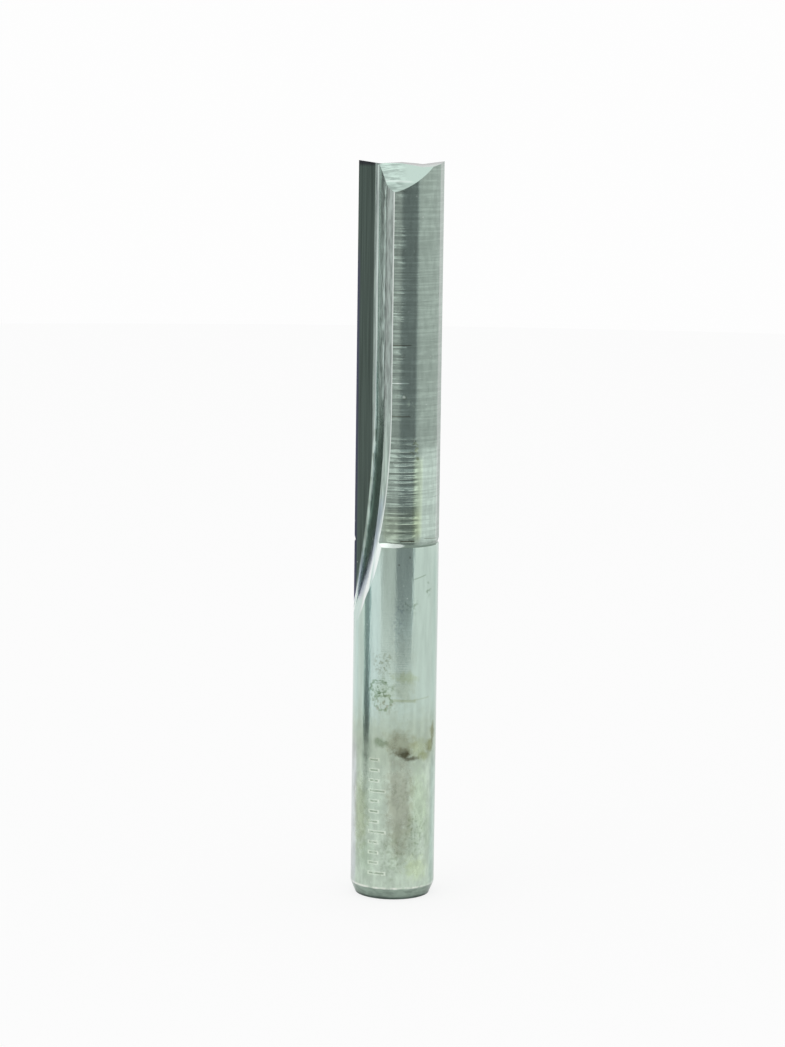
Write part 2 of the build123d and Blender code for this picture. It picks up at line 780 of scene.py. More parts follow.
OLIVE: Tone = (0.62, 0.60, 0.40)
UMBER: Tone = (0.55, 0.47, 0.36)
SOOT: Tone = (0.26, 0.22, 0.17)
GREY_GREEN: Tone = (0.50, 0.55, 0.46)
# Painted highlight: the light caught by the heel edges, a step on the end, the shoulder, the cone's
# edge and small pits.
PAINTED_HIGHLIGHT: Tone = (0.90, 0.95, 0.92)


@dataclass(frozen=True)
class LandFinish:
    """Short uneven rows that the relief wheel leaves across the lands, over painted light and
    shade.

    Heights are in millimetres, turns in degrees, and relief in hundredths of a millimetre.
    """

    # Painted shade: the lands' colour lowered against clean metal.
    shade: Tone = (0.61, 0.61, 0.605)
    front: Stretch = (-16.0, 21.0, 2.0)
    # Painted light: the strip at the front lifted.
    front_painted_light: Tone = (1.16, 1.16, 1.16)
    rows: Grain = Grain(0.10, 0.10, 4.2, (0.42, 0.58), 2.0)
    fine_rows: Grain = Grain(0.20, 0.20, 10.0, (0.42, 0.58), 2.0)
    dashes: Grain = Grain(1.0, 1.0, 2.4, (0.36, 0.60), 1.0)
    patches: Grain = Grain(0.30, 0.30, 0.25, (0.38, 0.58), 2.0)
    smears: Grain = Grain(2.4, 2.4, 0.6, (0.35, 0.65))
    core_turns: Stretch = (-14.0, 8.0, 4.0)
    low_turns: Stretch = (-14.0, 30.0, 6.0)
    low_heights: Stretch = (34.5, 44.0, 2.0)
    tip_heights: Stretch = (60.8, 64.6, 0.8)
    least_rows: float = 0.22
    patch_share: Swing = Swing(0.35, 0.65)
    dash_share: Swing = Swing(0.3, 0.7)
    row_tone: Swing = Swing(0.64, 0.98)
    fine_row_tone: float = 0.34
    smear_tone: Swing = Swing(0.92, 0.14)
    dulling: float = 0.07
    row_relief: float = 2.6
    fine_row_relief: float = 0.4

    def lay(self, coat: Coat, land: Num) -> None:
        """Finish the lands.

        Args:
            coat: What is laid on.
            land: Where the lands are.
        """
        skin = coat.skin
        rows = skin.grain(self.rows)
        fine = skin.grain(self.fine_rows)
        dashes = skin.grain(self.dashes)
        patches = skin.grain(self.patches)
        core = skin.between(*self.core_turns)
        low_rows = skin.between(*self.low_turns) * skin.level(*self.low_heights)
        tip_rows = core * skin.level(*self.tip_heights)
        core_rows = (core * self.patch_share.of(patches)).at_least(low_rows).at_least(tip_rows)
        rowed = land * core_rows.at_least(self.least_rows) * self.dash_share.of(dashes)
        # Painted shade over the lands, and painted light over the strip at the front.
        coat.tint_by(self.shade, land)
        coat.tint_by(self.front_painted_light, land * skin.between(*self.front))
        # The rows are grinding marks with the light they catch painted in, and their mean lifts the
        # front: partly painted light.
        coat.shade(self.row_tone.of(rows) + fine * self.fine_row_tone, rowed)
        coat.shade(self.smear_tone.of(skin.grain(self.smears)), land)
        coat.dull(land * self.dulling)
        coat.raise_by(rows * rowed * self.row_relief + fine * rowed * self.fine_row_relief)


@dataclass(frozen=True)
class WallFinish:
    """Long streaks on the flute walls, with painted light and shade near the tip, where they are
    rougher, and painted highlights where they run out.

    Heights and radii are in millimetres, and relief in hundredths of a millimetre. Where a pair
    of numbers is a step, it begins at the first and is full at the second.
    """

    streaks: Grain = Grain(5.0, 5.0, 0.22, (0.35, 0.65))
    smears: Grain = Grain(3.0, 3.0, 0.80, (0.36, 0.64), 4.0)
    scuffed_heights: Span = (42.0, 50.0)
    scuffed_depths: Span = (0.35, 0.55)
    # Painted light: a paler colour laid over the walls near the tip.
    near_tip_painted_light: Tone = (0.64, 0.73, 0.69)
    near_tip_painted_light_cover: float = 0.7
    smear_tone: Swing = Swing(0.68, 0.50)
    corner_reach: Span = (2.55, 2.25)
    corner_depths: Span = (0.4, 0.7)
    corner_heights: Span = (61.0, 66.0)
    # Painted shade in the corner near the tip.
    corner_painted_shade: Swing = Swing(0.62, 0.10)
    # Painted light inside the walls near the tip, and painted shade towards the heel.
    inner_painted_light: Tone = (1.34, 1.34, 1.34)
    inner_begins: Span = (2.15, 2.35)
    inner_ends: Span = (2.78, 2.55)
    heel_painted_shade: Tone = (0.66, 0.66, 0.66)
    heel_reach: Span = (2.58, 2.90)
    # Painted highlight where the walls run out and along the corner fillet.
    bright: Tone = (0.84, 0.90, 0.92)
    run_out_heights: Span = (41.0, 33.0)
    run_out_reach: Span = (3.1, 3.75)
    run_out_highlight_cover: float = 0.8
    run_out_keeps: float = 0.6
    scuffed_keeps: float = 0.65
    streak_tone: Swing = Swing(0.51, 0.46)
    lilac_tint: Tone = (0.70, 0.72, 0.84)
    bloom_begins: Span = (3.05, 3.2)
    bloom_ends: Span = (3.72, 3.45)
    bloom_heights: Span = (39.5, 37.5)
    root_reach: Span = (2.5, 2.3)
    root_depths: Span = (0.36, 0.16)
    root_highlight_cover: float = 0.22
    scuffed_dulling: Swing = Swing(0.20, 0.20)
    rim_reach: Span = (3.62, 3.76)
    rim_cover: float = 0.85
    rim_dulling: float = -0.25
    streak_relief: float = 0.5

    def lay(self, coat: Coat, wall: Num) -> None:
        """Finish the flute walls.

        Args:
            coat: What is laid on.
            wall: Where the flute walls are.
        """
        skin = coat.skin
        reach, depth = skin.reach, abs(skin.y)
        streaks = skin.grain(self.streaks)
        smears = skin.grain(self.smears)
        scuffed_and_painted_light = wall * skin.z.rise(*self.scuffed_heights) * depth.rise(*self.scuffed_depths)
        run_out = wall * skin.z.rise(*self.run_out_heights) * reach.rise(*self.run_out_reach)
        rim = wall * reach.rise(*self.rim_reach)
        corner = wall * reach.rise(*self.corner_reach) * depth.rise(*self.corner_depths)
        inner = reach.rise(*self.inner_begins) * reach.rise(*self.inner_ends)
        lilac_tint = reach.rise(*self.bloom_begins) * reach.rise(*self.bloom_ends)
        root = reach.rise(*self.root_reach) * depth.rise(*self.root_depths)
        # Near the tip: painted light, painted shade in the corner and at the heel, and more
        # roughness.
        coat.lay_over(self.near_tip_painted_light, scuffed_and_painted_light * self.near_tip_painted_light_cover)
        coat.shade(self.smear_tone.of(smears), scuffed_and_painted_light)
        darker = corner * scuffed_and_painted_light * skin.z.rise(*self.corner_heights)
        coat.shade(self.corner_painted_shade.of(streaks), darker)
        coat.tint_by(self.inner_painted_light, scuffed_and_painted_light * inner)
        coat.tint_by(self.heel_painted_shade, scuffed_and_painted_light * reach.rise(*self.heel_reach))
        # Painted highlight where the walls run out.
        coat.lay_over(self.bright, run_out * self.run_out_highlight_cover)
        plain = (1.0 - run_out * self.run_out_keeps) * (1.0 - scuffed_and_painted_light * self.scuffed_keeps)
        coat.shade(self.streak_tone.of(streaks), wall * plain)
        # A lilac tint on the outer part of the walls, low down.
        coat.tint_by(self.lilac_tint, wall * lilac_tint * skin.z.rise(*self.bloom_heights))
        # Painted highlight along the corner fillet.
        coat.lay_over(self.bright, wall * root * self.root_highlight_cover)
        coat.dull(scuffed_and_painted_light * self.scuffed_dulling.of(smears))
        # Painted highlight along the heel edge; near the tip it is glossier too.
        coat.lay_over(PAINTED_HIGHLIGHT, rim * self.rim_cover)
        coat.dull(rim * scuffed_and_painted_light * self.rim_dulling)
        coat.raise_by(streaks * wall * self.streak_relief)


@dataclass(frozen=True)
class RakeFinish:
    """Polished rake faces under painted shade, with fine hairs and a violet edge, in millimetres.
    """

    # Painted shade: the rake faces' colour lowered.
    shade: Tone = (0.235, 0.255, 0.25)
    hairs: Grain = Grain(9.0, 9.0, 0.07, (0.35, 0.65))
    hair_tone: Swing = Swing(0.78, 0.40)
    violet: Tone = (1.00, 0.76, 1.45)
    violet_reach: Span = (3.68, 3.96)
    violet_heights: Span = (63.0, 59.0)
    tip: Tone = (0.50, 0.40, 0.50)
    tip_heights: Span = (69.35, 69.75)

    def lay(self, coat: Coat, rake: Num) -> None:
        """Finish the rake faces.

        Args:
            coat: What is laid on.
            rake: Where the rake faces are.
        """
        skin = coat.skin
        # Painted shade over the rake faces.
        coat.tint_by(self.shade, rake)
        coat.shade(self.hair_tone.of(skin.grain(self.hairs)), rake)
        edge = skin.reach.rise(*self.violet_reach) * skin.z.rise(*self.violet_heights)
        coat.tint_by(self.violet, edge * rake)
        coat.tint_by(self.tip, rake * skin.z.rise(*self.tip_heights))


@dataclass(frozen=True)
class EndFinish:
    """Lines across the gash facets, painted light on them, a painted highlight along a step with
    painted shade below, and a dull hollow end under painted shade, in millimetres.
    """

    lines: Grain = Grain(0.5, 1.2, 5.0, (0.38, 0.62))
    hollow_tilt: Span = (0.93, 0.97)
    # Painted light over the facets.
    facet_painted_light: Tone = (1.10, 1.12, 1.14)
    line_tone: Swing = Swing(0.74, 0.42)
    lined_side: Span = (0.7, -0.3)
    step_side: Span = (1.3, 0.7)
    step_heights: Stretch = (68.12, 68.28, 0.05)
    step_cover: float = 0.35
    low_heights: Span = (68.15, 68.0)
    low_painted_shade: float = 0.84
    hollow_shade: Tone = (0.52, 0.44, 0.48)
    hollow_painted_shade_share: Swing = Swing(0.35, 0.65)
    hollow_painted_shade_depths: Span = (1.9, 0.5)
    dulling: float = 0.05
    line_relief: float = 0.5

    def lay(self, coat: Coat, end: Num) -> None:
        """Finish the ground end.

        Args:
            coat: What is laid on.
            end: Where the ground end is.
        """
        skin = coat.skin
        lines = skin.grain(self.lines)
        hollow = end * skin.normal_z.rise(*self.hollow_tilt)
        facet = end * (1.0 - hollow)
        step = facet * skin.x.rise(*self.step_side)
        # Painted light over the facets.
        coat.tint_by(self.facet_painted_light, facet)
        coat.shade(self.line_tone.of(lines), facet * skin.x.rise(*self.lined_side))
        # Painted shade below the step, and a painted highlight along it.
        coat.shade(self.low_painted_shade, facet * skin.z.rise(*self.low_heights))
        coat.lay_over(PAINTED_HIGHLIGHT, step * skin.level(*self.step_heights) * self.step_cover)
        # Painted shade in the hollow, deepest towards the middle.
        hollow_painted_shade_share = self.hollow_painted_shade_share.of(abs(skin.y).rise(*self.hollow_painted_shade_depths))
        coat.tint_by(self.hollow_shade, hollow * hollow_painted_shade_share)
        coat.dull(end * self.dulling)
        coat.raise_by(lines * end * self.line_relief)


@dataclass(frozen=True)
class ShoulderFinish:
    """A polished slope with a painted highlight, a bright oval at the front of the first tooth, in
    millimetres, and painted shade beside it."""

    glint: Spot = Spot(-9.0, 34.20)
    glint_half_width: float = 1.45
    glint_half_height: float = 0.24
    glint_fade: Span = (1.10, 0.80)
    glint_cover: float = 0.55
    glint_dulling: float = 0.14
    # Painted shade over the slope away from the bright oval.
    dirt_and_painted_shade: Tone = (0.40, 0.42, 0.40)

    def lay(self, coat: Coat, slope: Num) -> None:
        """Finish the sloping shoulder.

        Args:
            coat: What is laid on.
            slope: Where the sloping shoulder is.
        """
        skin = coat.skin
        spread = skin.spread(self.glint, self.glint_half_width, self.glint_half_height)
        front = spread.rise(*self.glint_fade)
        # Painted highlight in the oval, a little rougher there, and painted shade elsewhere on the
        # slope.
        coat.lay_over(PAINTED_HIGHLIGHT, slope * front * self.glint_cover)
        coat.dull(slope * front * self.glint_dulling)
        coat.tint_by(self.dirt_and_painted_shade, slope * (1.0 - front))


@dataclass(frozen=True)
class ShankFinish:
    """Grinding rings, films and the etched scale on the round shank.

    Heights are in millimetres, and relief in hundredths of a millimetre.
    """

    rings: Grain = Grain(0.25, 0.25, 16.0, (0.3, 0.7))
    runs: Grain = Grain(1.7, 1.7, 0.22, (0.32, 0.68), 4.0)
    mottle: Grain = Grain(1.4, 1.4, 0.8, (0.32, 0.68))
    mottled_heights: Span = (19.5, 13.0)
    run_tone: Swing = Swing(0.96, 0.13)
    mottle_tone: Swing = Swing(0.88, 0.22)
    mottle_dulling: Swing = Swing(0.02, 0.08)
    ticks: EtchedTicks = EtchedTicks()
    tick_rim: Tone = (0.82, 0.93, 0.86)
    tick_rim_cover: float = 0.60
    tick_floor_cover: float = 0.55
    tick_floor_dulling: float = 0.1
    ring_relief: float = 0.10
    run_relief: float = 1.2
    mottle_relief: float = 0.9

    def lay(self, coat: Coat, shank: Num) -> None:
        """Finish the round shank.

        Args:
            coat: What is laid on.
            shank: Where the round shank is.
        """
        skin = coat.skin
        rings = skin.grain(self.rings)
        runs = skin.grain(self.runs)
        mottle = skin.grain(self.mottle)
        low = shank * skin.z.rise(*self.mottled_heights)
        coat.shade(self.run_tone.of(runs), shank)
        coat.shade(self.mottle_tone.of(mottle), low)
        coat.dull(low * self.mottle_dulling.of(mottle))
        rims, floors = self.ticks.masks(skin)
        coat.lay_over(self.tick_rim, rims * shank * self.tick_rim_cover)
        coat.tint_by(GREY_GREEN, floors * shank * self.tick_floor_cover, self.tick_floor_dulling)
        relief = rings * shank * self.ring_relief + runs * shank * self.run_relief
        coat.raise_by(relief + mottle * low * self.mottle_relief)


@dataclass(frozen=True)
class ConeFinish:
    """The lead-in cone under painted shade, with a painted highlight along its upper edge and a
    painted shadow at its foot, in millimetres.
    """

    # Painted shade: the cone's colour lowered.
    shade: Tone = (0.65, 0.66, 0.64)
    patches: Grain = Grain(0.7, 0.7, 1.6, (0.35, 0.65))
    patch_tone: Swing = Swing(0.80, 0.40)
    # Painted shadow along the bottom, where the bit meets the floor.
    foot: Tone = (0.52, 0.52, 0.54)
    painted_shadow_heights: Span = (0.32, 0.12)
    edge: Grain = Grain(1.2, 1.2, 1.2, (0.35, 0.60), 5.0)
    edge_heights: Stretch = (1.06, 1.26, 0.06)
    edge_cover: float = 0.75

    def lay(self, coat: Coat, cone: Num) -> None:
        """Finish the lead-in cone.

        Args:
            coat: What is laid on.
            cone: Where the lead-in cone is.
        """
        skin = coat.skin
        edge = skin.level(*self.edge_heights) * skin.grain(self.edge)
        # Painted shade on the cone, painted shadow at the foot, and a painted highlight along the
        # upper edge.
        coat.tint_by(self.shade, cone)
        coat.shade(self.patch_tone.of(skin.grain(self.patches)), cone)
        coat.tint_by(self.foot, skin.z.rise(*self.painted_shadow_heights))
        coat.lay_over(PAINTED_HIGHLIGHT, edge * self.edge_cover)


FILM_AND_PAINTED_LIGHT: tuple[ColourMark, ...] = (
    # A yellowish film on the lower shank.
    ColourMark(Band(Spot(-175.0, -2.0), Spot(175.0, 17.6), 4.0, 2.2, 1.0), (0.86, 0.83, 0.76), 0.02),
    # Lighter and bluer below 13 mm.
    ColourMark(Band(Spot(-175.0, -2.0), Spot(175.0, 13.0), 4.0, 1.2, 1.0), (1.22, 1.22, 1.26)),
    # Painted light and shade at the sides: a cyan-lilac lift at the left front, lifts towards the
    # left edge, and lowered colour towards the right edge.
    ColourMark(Band(Spot(-42.0, 17.0), Spot(-20.0, 33.6), 6.0, 2.0, 0.8), (1.06, 1.08, 1.15)),
    ColourMark(Band(Spot(-95.0, 16.0), Spot(-60.0, 33.0), 4.0, 3.0, 0.8), (1.05, 1.08, 1.13)),
    ColourMark(Band(Spot(62.0, 15.0), Spot(95.0, 33.0), 6.0, 1.5, 1.0), (0.88, 0.93, 0.92)),
    ColourMark(Band(Spot(-95.0, 1.0), Spot(-62.0, 15.0), 5.0, 1.5, 1.0), (1.08, 0.98, 1.16)),
    ColourMark(Band(Spot(62.0, 1.0), Spot(95.0, 14.0), 6.0, 1.5, 1.0), (0.83, 0.90, 0.93)),
)
LOW_RESIDUE: tuple[ColourMark, ...] = (
    ColourMark(Blotch(Spot(-52.0, 8.2), 1.1, 3.9, 0.75), (0.72, 0.72, 0.58), 0.08),
    ColourMark(Blotch(Spot(-30.0, 10.0), 1.5, 4.0, 0.5), (0.84, 0.88, 0.86), 0.05),
    ColourMark(Blotch(Spot(-40.0, 4.0), 1.0, 1.8, 0.5), (0.78, 0.86, 0.76), 0.05),
    ColourMark(Blotch(Spot(9.0, 9.2), 1.45, 5.2, 0.9), (0.77, 0.71, 0.67), 0.10),
    ColourMark(Blotch(Spot(14.0, 5.0), 1.9, 2.8, 0.6), (0.84, 0.86, 0.80), 0.05),
    ColourMark(Blotch(Spot(38.0, 9.5), 1.2, 3.6, 0.6), (0.90, 0.95, 0.82), 0.05),
    ColourMark(Blotch(Spot(36.0, 3.0), 1.3, 1.2, 0.6), (1.10, 1.12, 0.88), 0.05),
    ColourMark(Speckle(Spot(34.0, 6.5), 1.2, 2.4, 0.5), GREY_GREEN),
    ColourMark(Speckle(Spot(-4.0, 4.0), 1.4, 2.4, 0.4), GREY_GREEN),
    ColourMark(Speckle(Spot(12.0, 10.5), 0.9, 1.8, 0.3), GREY_GREEN),
    ColourMark(Blotch(Spot(55.0, 6.6), 0.7, 2.6, 0.5), (0.78, 0.82, 0.74), 0.05),
)
DRIED_LINE: tuple[ColourMark, ...] = (
    ColourMark(Blotch(Spot(9.0, 15.3), 1.6, 1.15, 0.75), (0.79, 0.73, 0.64), 0.12),
    ColourMark(Blotch(Spot(12.5, 14.4), 1.0, 0.60, 0.75), (0.50, 0.45, 0.38), 0.12),
    ColourMark(Blotch(Spot(14.5, 14.2), 0.65, 0.40, 0.90), (0.34, 0.31, 0.25), 0.15),
    ColourMark(Blotch(Spot(25.0, 13.75), 0.75, 0.24, 0.85), SOOT, 0.15),
    ColourMark(Blotch(Spot(-18.0, 15.3), 0.8, 0.5, 0.75), GREY_GREEN, 0.10),
    ColourMark(Blotch(Spot(46.0, 13.9), 0.75, 0.45, 0.75), (0.74, 0.72, 0.52), 0.12),
    ColourMark(Blotch(Spot(58.0, 14.8), 0.60, 0.75, 0.90), (0.60, 0.57, 0.38), 0.12),
    ColourMark(Blotch(Spot(66.0, 16.0), 0.45, 0.95, 0.90), (0.60, 0.54, 0.38), 0.12),
    ColourMark(Blotch(Spot(36.0, 14.8), 1.2, 0.9, 0.7), (0.94, 0.93, 0.76), 0.10),
)
UPPER_RESIDUE_AND_PAINTED_SHADE: tuple[ColourMark, ...] = (
    ColourMark(Blotch(Spot(-19.0, 20.2), 1.3, 1.2, 0.5), (0.90, 0.91, 0.80), 0.05),
    # Painted shade: the middle of the shank lowered.
    ColourMark(Blotch(Spot(12.0, 23.6), 1.2, 2.4, 0.6), (0.89, 0.86, 0.83), 0.02),
    ColourMark(DriedEdge(Spot(-22.0, 20.7), 0.80, 0.62, 0.26, 0.60, 0.95), (0.52, 0.58, 0.48)),
    ColourMark(DriedEdge(Spot(-16.0, 19.2), 0.80, 0.75, 0.22, 0.70, 0.80), (0.56, 0.60, 0.48)),
    ColourMark(Speckle(Spot(-20.0, 20.4), 1.7, 1.1, 0.8), GREY_GREEN),
    ColourMark(Speckle(Spot(-14.0, 18.9), 1.3, 0.8, 0.6), UMBER),
    ColourMark(Speckle(Spot(-17.0, 22.9), 0.9, 1.2, 0.8), (0.60, 0.58, 0.50)),
    ColourMark(Speckle(Spot(4.0, 27.0), 0.7, 2.0, 0.5), (0.62, 0.64, 0.72)),
    ColourMark(Speckle(Spot(22.0, 28.4), 0.8, 0.8, 0.5), GREY_GREEN),
    ColourMark(Speckle(Spot(51.0, 29.9), 0.4, 0.8, 0.7), GREY_GREEN),
    ColourMark(Blotch(Spot(12.0, 20.5), 1.4, 1.5, 0.6), (0.84, 0.80, 0.70), 0.08),
    ColourMark(Blotch(Spot(15.0, 21.6), 1.3, 0.5, 0.6), (0.86, 0.86, 0.66), 0.08),
    ColourMark(Line(Spot(-3.0, 19.45), Spot(32.0, 19.30), 0.20, 0.50), OLIVE),
    ColourMark(Line(Spot(26.0, 19.40), Spot(56.0, 19.55), 0.10, 0.30), OLIVE),
    ColourMark(Line(Spot(24.0, 30.95), Spot(46.0, 31.35), 0.08, 0.65), GREY_GREEN),
    ColourMark(Line(Spot(19.0, 28.3), Spot(33.0, 28.7), 0.16, 0.35), GREY_GREEN),
)
LOWER_LAND_MARKS_AND_PAINTED_LIGHT: tuple[ColourMark, ...] = (
    ColourMark(Speckle(Spot(24.0, 43.4), 0.55, 0.75, 0.7), OLIVE),
    ColourMark(Blotch(Spot(29.0, 42.4), 0.20, 0.18, 0.8), (0.45, 0.45, 0.34)),
    # Painted light: the lower lands lifted right of the front.
    ColourMark(Band(Spot(33.0, 34.5), Spot(72.0, 43.2), 4.0, 0.8, 0.9), (1.62, 1.60, 1.62)),
    ColourMark(Band(Spot(23.0, 35.0), Spot(37.0, 42.4), 3.0, 0.5, 0.95), (1.17, 1.17, 1.03)),
    ColourMark(Band(Spot(-20.0, 34.4), Spot(34.0, 37.4), 4.0, 0.8, 0.7), (1.00, 0.98, 0.86)),
    ColourMark(Line(Spot(4.0, 34.60), Spot(27.0, 34.60), 0.10, 0.85), SOOT),
    ColourMark(Line(Spot(40.0, 34.80), Spot(76.0, 34.60), 0.05, 0.60), SOOT),
)
UPPER_LAND_MARKS_AND_PAINTED_HIGHLIGHTS: tuple[ColourMark, ...] = (
    ColourMark(Blotch(Spot(7.9, 48.2), 0.26, 0.26, 0.6), SOOT),
    # Painted highlight: a bright dot in the dark pit.
    ColourMark(Blotch(Spot(7.9, 48.22), 0.17, 0.17, 1.0), (4.0, 4.0, 4.0)),
    # Painted highlights: bright flecks.
    ColourMark(Speckle(Spot(18.0, 47.5), 0.45, 0.45, 0.8), (1.5, 1.5, 1.4)),
    ColourMark(Line(Spot(-14.0, 53.05), Spot(19.0, 53.05), 0.08, 0.75), SOOT),
    # Painted highlights: two bright lines along grinding rows.
    ColourMark(Line(Spot(-14.0, 52.88), Spot(12.0, 52.86), 0.07, 0.80), (2.4, 2.4, 2.4)),
    ColourMark(Line(Spot(-14.0, 49.50), Spot(16.0, 49.50), 0.07, 0.80), (2.2, 2.2, 2.2)),
    ColourMark(Line(Spot(-14.0, 46.40), Spot(19.0, 46.40), 0.12, 0.55), SOOT),
)
SMALL_PITS_AND_GLINT: tuple[ColourMark, ...] = (
    ColourMark(Blotch(Spot(4.0, 32.4), 0.07, 0.07, 1.0), SOOT),
    ColourMark(Blotch(Spot(19.0, 33.1), 0.05, 0.12, 1.0), SOOT),
    # Painted highlight: a bright fleck.
    ColourMark(Blotch(Spot(19.5, 61.8), 0.06, 0.12, 0.9), (1.5, 1.5, 1.5)),
)
# Real films, residue and marks, with painted light and shade among them.
MARKS_AND_PAINTED_LIGHT = (
    *FILM_AND_PAINTED_LIGHT,
    *LOW_RESIDUE,
    *DRIED_LINE,
    *UPPER_RESIDUE_AND_PAINTED_SHADE,
    *LOWER_LAND_MARKS_AND_PAINTED_LIGHT,
    *UPPER_LAND_MARKS_AND_PAINTED_HIGHLIGHTS,
    *SMALL_PITS_AND_GLINT,
)


@dataclass(frozen=True)
class GroundCarbide:
    """Fine-ground solid carbide with grinding marks, dried residue, scratches and pits, and painted
    light and shade.

    Specks are set out in cells, speck_grain to a millimetre. The edges look rounded to
    edge_radius, and one unit of relief is relief_unit high, both in millimetres.
    """

    metal: Tone = (0.505, 0.625, 0.555)
    roughness: float = 0.13
    land: LandFinish = LandFinish()
    wall: WallFinish = WallFinish()
    rake: RakeFinish = RakeFinish()
    end: EndFinish = EndFinish()
    shoulder: ShoulderFinish = ShoulderFinish()
    shank: ShankFinish = ShankFinish()
    cone: ConeFinish = ConeFinish()
    zones: BitZones = BitZones()
    speck_grain: float = 0.9
    speck_radius: float = 0.06
    speck_cover: float = 0.5
    speck_relief: float = -0.8
    edge_radius: float = 0.03
    edge_samples: int = 6
    relief_strength: float = 0.55
    relief_unit: float = 0.01

    def lay_specks(self, coat: Coat) -> None:
        """Scatter small pits all over, each with a painted highlight.

        Args:
            coat: What is laid on.
        """
        skin, grain = coat.skin, self.speck_grain
        place = skin.graph.vector(skin.x * grain, skin.y * grain, skin.z * grain)
        specks = skin.graph.specks(place, self.speck_radius)
        # Painted highlight on each pit.
        coat.lay_over(PAINTED_HIGHLIGHT, specks * self.speck_cover)
        coat.raise_by(specks * self.speck_relief)

    def material(self, radius: float) -> bpy.types.Material:
        """Build the finish.

        Args:
            radius: The shank's radius in millimetres.

        Returns:
            The material.
        """
        material = bpy.data.materials.new("ground_carbide")
        material.use_nodes = True
        graph = Graph(material.node_tree)
        skin = RodSkin(graph, radius)
        zone = self.zones.masks(skin)
        coat = Coat(skin, self.metal, self.roughness)
        self.land.lay(coat, zone["land"])
        self.wall.lay(coat, zone["wall"])
        self.rake.lay(coat, zone["rake"])
        self.end.lay(coat, zone["end"])
        self.shoulder.lay(coat, zone["slope"])
        self.shank.lay(coat, zone["shank"])
        self.cone.lay(coat, zone["cone"])
        outside = zone["shank"].at_least(zone["land"])
        # Real marks, and painted light and shade, on the shank and lands.
        for tint_by in MARKS_AND_PAINTED_LIGHT:
            coat.tint_by(tint_by.tone, tint_by.mark.mask(skin) * outside, tint_by.dulling)
        self.lay_specks(coat)

        rounded = graph.node(
            "ShaderNodeBevel",
            {"samples": self.edge_samples},
            {"Radius": self.edge_radius * MILLIMETRE},
        )
        relief = {
            "Strength": self.relief_strength,
            "Distance": self.relief_unit * MILLIMETRE,
            "Height": coat.height,
            "Normal": rounded.outputs["Normal"],
        }
        bump = graph.node("ShaderNodeBump", {}, relief)
        values = {
            "Base Color": coat.colour,
            "Metallic": 1.0,
            "Roughness": coat.roughness,
            "Normal": bump.outputs["Normal"],
        }
        surface = graph.node("ShaderNodeBsdfPrincipled", {}, values)
        graph.node("ShaderNodeOutputMaterial", {}, {"Surface": surface.outputs["BSDF"]})
        return material


@dataclass
class RouterBit:
    """The bit itself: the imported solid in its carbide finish."""

    finish: GroundCarbide = GroundCarbide()

    def build(self) -> bpy.types.Object:
        """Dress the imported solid.

        Returns:
            The dressed object.
        """
        low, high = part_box(BIT_NODE)
        radius = (high[0] - low[0]) / 2 / MILLIMETRE
        body = bpy.data.objects[BIT_NODE]
        material = self.finish.material(radius)
        body.data.materials.clear()
        body.data.materials.append(material)
        return body


@dataclass
class Card:
    """A flat upright studio card that faces the bit and is seen only in its gloss.

    Attributes:
        name: The card's name.
        left: The turn where it begins, in degrees from the front.
        right: The turn where it ends.
        distance: Its distance from the bit's axis, in metres.
        height: Its height above the floor.
        foot: How bright its foot is.
        body: How bright it is from the fade up.
        head: How bright it is at the top.
        fade: The height over which the foot fades into the body.
        left_glow: How bright its left edge is.
        right_glow: How bright its right edge is.
        soft: The width of its soft edges, in degrees.
        tint: Its colour.
    """

    name: str
    left: float
    right: float
    distance: float
    height: float
    foot: float
    body: float
    head: float
    fade: float
    left_glow: float = 0.98
    right_glow: float = 0.98
    soft: float = 4.0
    tint: Tone = (1.0, 1.0, 1.0)

    def build(self) -> bpy.types.Object:
        """Stand a plane up and give it its glow.

        Returns:
            The card.
        """
        bpy.ops.object.select_all(action="DESELECT")
        facing = radians((self.left + self.right) / 2)
        width = 2 * self.distance * tan(radians((self.right - self.left) / 2))
        place = (self.distance * sin(facing), -self.distance * cos(facing), self.height / 2)
        upright = (radians(90.0), 0.0, facing)
        bpy.ops.mesh.primitive_plane_add(size=1.0, location=place, rotation=upright)
        card = bpy.context.object
        card.name = self.name
        card.scale = (width, self.height, 1.0)
        bpy.ops.object.transform_apply(location=True, rotation=True, scale=True)
        card.data.materials.append(self.glow())
        card.visible_camera = False
        card.visible_diffuse = False
        card.visible_shadow = False
        return card

    def glow(self) -> bpy.types.Material:
        """The card's own light, by height and towards its edges.

        Returns:
            The material.
        """
        material = bpy.data.materials.new(self.name)
        material.use_nodes = True
        graph = Graph(material.node_tree)
        reader = graph.node("ShaderNodeTexCoord", {}, {})
        x, y, up = graph.split(reader.outputs["Object"])
        turn = graph.math("ARCTAN2", x, -y)
        body = self.foot + up.rise(0.0, self.fade) * (self.body - self.foot)
        light = body + up.rise(self.fade, self.height) * (self.head - self.body)
        near_left = turn.rise(radians(self.left + self.soft), radians(self.left))
        near_right = turn.rise(radians(self.right - self.soft), radians(self.right))
        light = light + near_left * (self.left_glow - light)
        light = light + near_right * (self.right_glow - light)
        tint = graph.colour(self.tint, graph.vector(light, light, light), 1.0, Mixing.STAIN)
        lamp = graph.node("ShaderNodeEmission", {}, {"Color": tint})
        graph.node("ShaderNodeOutputMaterial", {}, {"Surface": lamp.outputs[0]})
        return material


